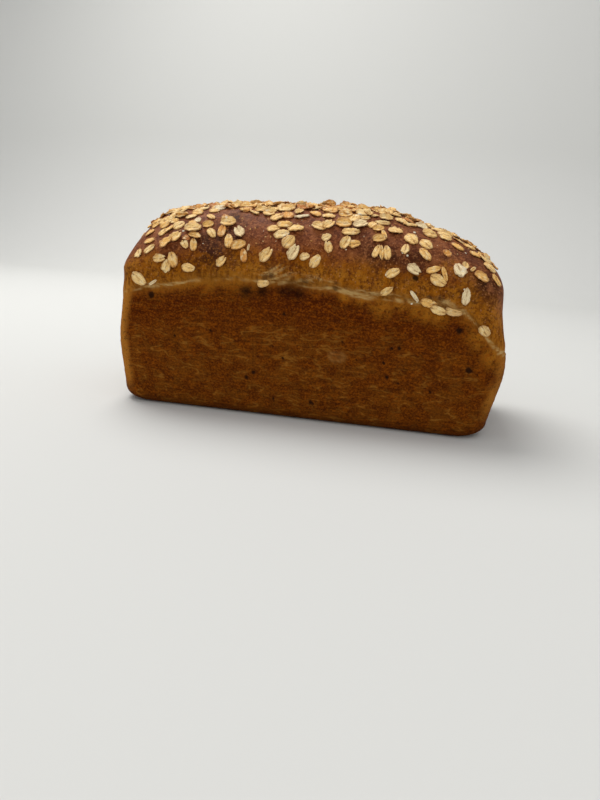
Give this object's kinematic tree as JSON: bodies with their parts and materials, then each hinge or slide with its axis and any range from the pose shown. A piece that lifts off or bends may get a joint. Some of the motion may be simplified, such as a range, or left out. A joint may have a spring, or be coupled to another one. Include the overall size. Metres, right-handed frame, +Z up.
{
  "type": "sourdough sandwich loaf",
  "caption": "Whole tin-baked sourdough sandwich loaf with upright sides, a torn line above the tin's rim and a domed crown covered in oat flakes.",
  "frame": {"origin": "middle of the flat base that the loaf rests on", "axes": "+X along the loaf to the right as the picture shows it, +Y to its back, +Z up"},
  "size_m": [0.2514, 0.1112, 0.1348],
  "materials": {
    "crust": null,
    "oats": null
  },
  "bodies": {
    "root": {"loaf": "crust"}
  },
  "joints": []
}
